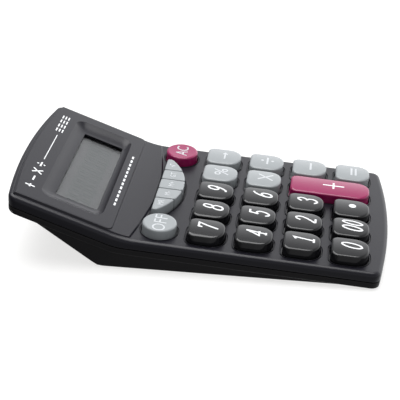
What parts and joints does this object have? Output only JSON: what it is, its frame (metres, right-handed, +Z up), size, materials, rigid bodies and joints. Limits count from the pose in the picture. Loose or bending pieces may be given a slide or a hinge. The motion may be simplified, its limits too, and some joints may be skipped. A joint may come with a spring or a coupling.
{
  "type": "pocket calculator",
  "caption": "Desk-style pocket calculator with a bowed wedge case, an upswept display, D-shaped keys that press, round clear and off keys and a sliding battery door.",
  "frame": {"origin": "on the table, under the middle of the case's box", "axes": "+X to the user's right, +Y towards the display end, +Z up"},
  "size_m": [0.0746, 0.137, 0.0287],
  "materials": {
    "charcoal_case": "fine satin texture, charcoal",
    "black_case": "satin, near black",
    "black_key_plastic": "polished",
    "grey_key_plastic": "polished",
    "magenta_key_plastic": "polished",
    "clear_acrylic": "clear, polished",
    "lcd_glass": "grey polariser",
    "ribbon_film": "amber film",
    "silicone_rubber": "soft matt",
    "board_laminate": "solder-masked laminate",
    "black_epoxy": "cured resin",
    "cell_label": "printed foil sleeve without lettering",
    "zinc_steel": "zinc plated",
    "red_insulation": "PVC",
    "black_insulation": "PVC",
    "foot_rubber": "matt"
  },
  "bodies": {
    "case": {"aaa_cell": "cell_label", "board_screw_1": "zinc_steel", "board_screw_2": "zinc_steel", "bottom_case": "black_case", "case_screw_1": "zinc_steel", "case_screw_2": "zinc_steel", "case_screw_3": "zinc_steel", "case_screw_4": "zinc_steel", "chip_cover": "black_epoxy", "contact_spring": "zinc_steel", "display_window": "clear_acrylic", "end_screw_1": "zinc_steel", "end_screw_2": "zinc_steel", "filter_capacitor": "black_epoxy", "holder_screw_1": "zinc_steel", "holder_screw_2": "zinc_steel", "lcd_holder": "black_case", "lcd_panel": "lcd_glass", "lcd_ribbon": "ribbon_film", "main_pcb": "board_laminate", "negative_contact": "zinc_steel", "negative_wire": "black_insulation", "positive_contact": "zinc_steel", "positive_wire": "red_insulation", "rubber_foot_1": "foot_rubber", "rubber_foot_2": "foot_rubber", "rubber_foot_3": "foot_rubber", "rubber_foot_4": "foot_rubber", "rubber_keypad": "silicone_rubber", "top_case": "charcoal_case"},
    "battery_door": {"battery_door": "black_case"},
    "key_7": {"key_7": "black_key_plastic"},
    "key_8": {"key_8": "black_key_plastic"},
    "key_9": {"key_9": "black_key_plastic"},
    "key_4": {"key_4": "black_key_plastic"},
    "key_5": {"key_5": "black_key_plastic"},
    "key_6": {"key_6": "black_key_plastic"},
    "key_1": {"key_1": "black_key_plastic"},
    "key_2": {"key_2": "black_key_plastic"},
    "key_3": {"key_3": "black_key_plastic"},
    "key_0": {"key_0": "black_key_plastic"},
    "key_00": {"key_00": "black_key_plastic"},
    "key_decimal_point": {"key_decimal_point": "black_key_plastic"},
    "key_percent": {"key_percent": "grey_key_plastic"},
    "key_backspace": {"key_backspace": "grey_key_plastic"},
    "key_multiply": {"key_multiply": "grey_key_plastic"},
    "key_divide": {"key_divide": "grey_key_plastic"},
    "key_subtract": {"key_subtract": "grey_key_plastic"},
    "key_equals": {"key_equals": "grey_key_plastic"},
    "key_off": {"key_off": "grey_key_plastic"},
    "key_memory_recall": {"key_memory_recall": "grey_key_plastic"},
    "key_memory_minus": {"key_memory_minus": "grey_key_plastic"},
    "key_memory_plus": {"key_memory_plus": "grey_key_plastic"},
    "key_grand_total": {"key_grand_total": "grey_key_plastic"},
    "key_square_root": {"key_square_root": "grey_key_plastic"},
    "key_add": {"key_add": "magenta_key_plastic"},
    "key_all_clear": {"key_all_clear": "magenta_key_plastic"}
  },
  "joints": [
    {"name": "key_7_press", "type": "slide", "parent": "case", "child": "key_7", "axis": [0, 0.0715, -0.9974], "range_m": [0, 0.001], "stiffness_N_per_m": 150},
    {"name": "key_8_press", "type": "slide", "parent": "case", "child": "key_8", "axis": [0, 0.0715, -0.9974], "range_m": [0, 0.001], "stiffness_N_per_m": 150},
    {"name": "key_9_press", "type": "slide", "parent": "case", "child": "key_9", "axis": [0, 0.0715, -0.9974], "range_m": [0, 0.001], "stiffness_N_per_m": 150},
    {"name": "key_4_press", "type": "slide", "parent": "case", "child": "key_4", "axis": [0, 0.0715, -0.9974], "range_m": [0, 0.001], "stiffness_N_per_m": 150},
    {"name": "key_5_press", "type": "slide", "parent": "case", "child": "key_5", "axis": [0, 0.0715, -0.9974], "range_m": [0, 0.001], "stiffness_N_per_m": 150},
    {"name": "key_6_press", "type": "slide", "parent": "case", "child": "key_6", "axis": [0, 0.0715, -0.9974], "range_m": [0, 0.001], "stiffness_N_per_m": 150},
    {"name": "key_1_press", "type": "slide", "parent": "case", "child": "key_1", "axis": [0, 0.0715, -0.9974], "range_m": [0, 0.001], "stiffness_N_per_m": 150},
    {"name": "key_2_press", "type": "slide", "parent": "case", "child": "key_2", "axis": [0, 0.0715, -0.9974], "range_m": [0, 0.001], "stiffness_N_per_m": 150},
    {"name": "key_3_press", "type": "slide", "parent": "case", "child": "key_3", "axis": [0, 0.0715, -0.9974], "range_m": [0, 0.001], "stiffness_N_per_m": 150},
    {"name": "key_0_press", "type": "slide", "parent": "case", "child": "key_0", "axis": [0, 0.0715, -0.9974], "range_m": [0, 0.001], "stiffness_N_per_m": 150},
    {"name": "key_00_press", "type": "slide", "parent": "case", "child": "key_00", "axis": [0, 0.0715, -0.9974], "range_m": [0, 0.001], "stiffness_N_per_m": 150},
    {"name": "key_decimal_point_press", "type": "slide", "parent": "case", "child": "key_decimal_point", "axis": [0, 0.0715, -0.9974], "range_m": [0, 0.001], "stiffness_N_per_m": 150},
    {"name": "key_percent_press", "type": "slide", "parent": "case", "child": "key_percent", "axis": [0, 0.0715, -0.9974], "range_m": [0, 0.001], "stiffness_N_per_m": 150},
    {"name": "key_backspace_press", "type": "slide", "parent": "case", "child": "key_backspace", "axis": [0, 0.0715, -0.9974], "range_m": [0, 0.001], "stiffness_N_per_m": 150},
    {"name": "key_multiply_press", "type": "slide", "parent": "case", "child": "key_multiply", "axis": [0, 0.0715, -0.9974], "range_m": [0, 0.001], "stiffness_N_per_m": 150},
    {"name": "key_divide_press", "type": "slide", "parent": "case", "child": "key_divide", "axis": [0, 0.0715, -0.9974], "range_m": [0, 0.001], "stiffness_N_per_m": 150},
    {"name": "key_subtract_press", "type": "slide", "parent": "case", "child": "key_subtract", "axis": [0, 0.0715, -0.9974], "range_m": [0, 0.001], "stiffness_N_per_m": 150},
    {"name": "key_equals_press", "type": "slide", "parent": "case", "child": "key_equals", "axis": [0, 0.0715, -0.9974], "range_m": [0, 0.001], "stiffness_N_per_m": 150},
    {"name": "key_off_press", "type": "slide", "parent": "case", "child": "key_off", "axis": [0, 0.0715, -0.9974], "range_m": [0, 0.001], "stiffness_N_per_m": 150},
    {"name": "key_memory_recall_press", "type": "slide", "parent": "case", "child": "key_memory_recall", "axis": [0, 0.0715, -0.9974], "range_m": [0, 0.001], "stiffness_N_per_m": 150},
    {"name": "key_memory_minus_press", "type": "slide", "parent": "case", "child": "key_memory_minus", "axis": [0, 0.0715, -0.9974], "range_m": [0, 0.001], "stiffness_N_per_m": 150},
    {"name": "key_memory_plus_press", "type": "slide", "parent": "case", "child": "key_memory_plus", "axis": [0, 0.0715, -0.9974], "range_m": [0, 0.001], "stiffness_N_per_m": 150},
    {"name": "key_grand_total_press", "type": "slide", "parent": "case", "child": "key_grand_total", "axis": [0, 0.0715, -0.9974], "range_m": [0, 0.001], "stiffness_N_per_m": 150},
    {"name": "key_square_root_press", "type": "slide", "parent": "case", "child": "key_square_root", "axis": [0, 0.0715, -0.9974], "range_m": [0, 0.001], "stiffness_N_per_m": 150},
    {"name": "key_add_press", "type": "slide", "parent": "case", "child": "key_add", "axis": [0, 0.0715, -0.9974], "range_m": [0, 0.001], "stiffness_N_per_m": 150},
    {"name": "key_all_clear_press", "type": "slide", "parent": "case", "child": "key_all_clear", "axis": [0, 0.0715, -0.9974], "range_m": [0, 0.001], "stiffness_N_per_m": 150},
    {"name": "battery_door_slide", "type": "slide", "parent": "case", "child": "battery_door", "axis": [0, 1, 0], "range_m": [0, 0.005]}
  ]
}
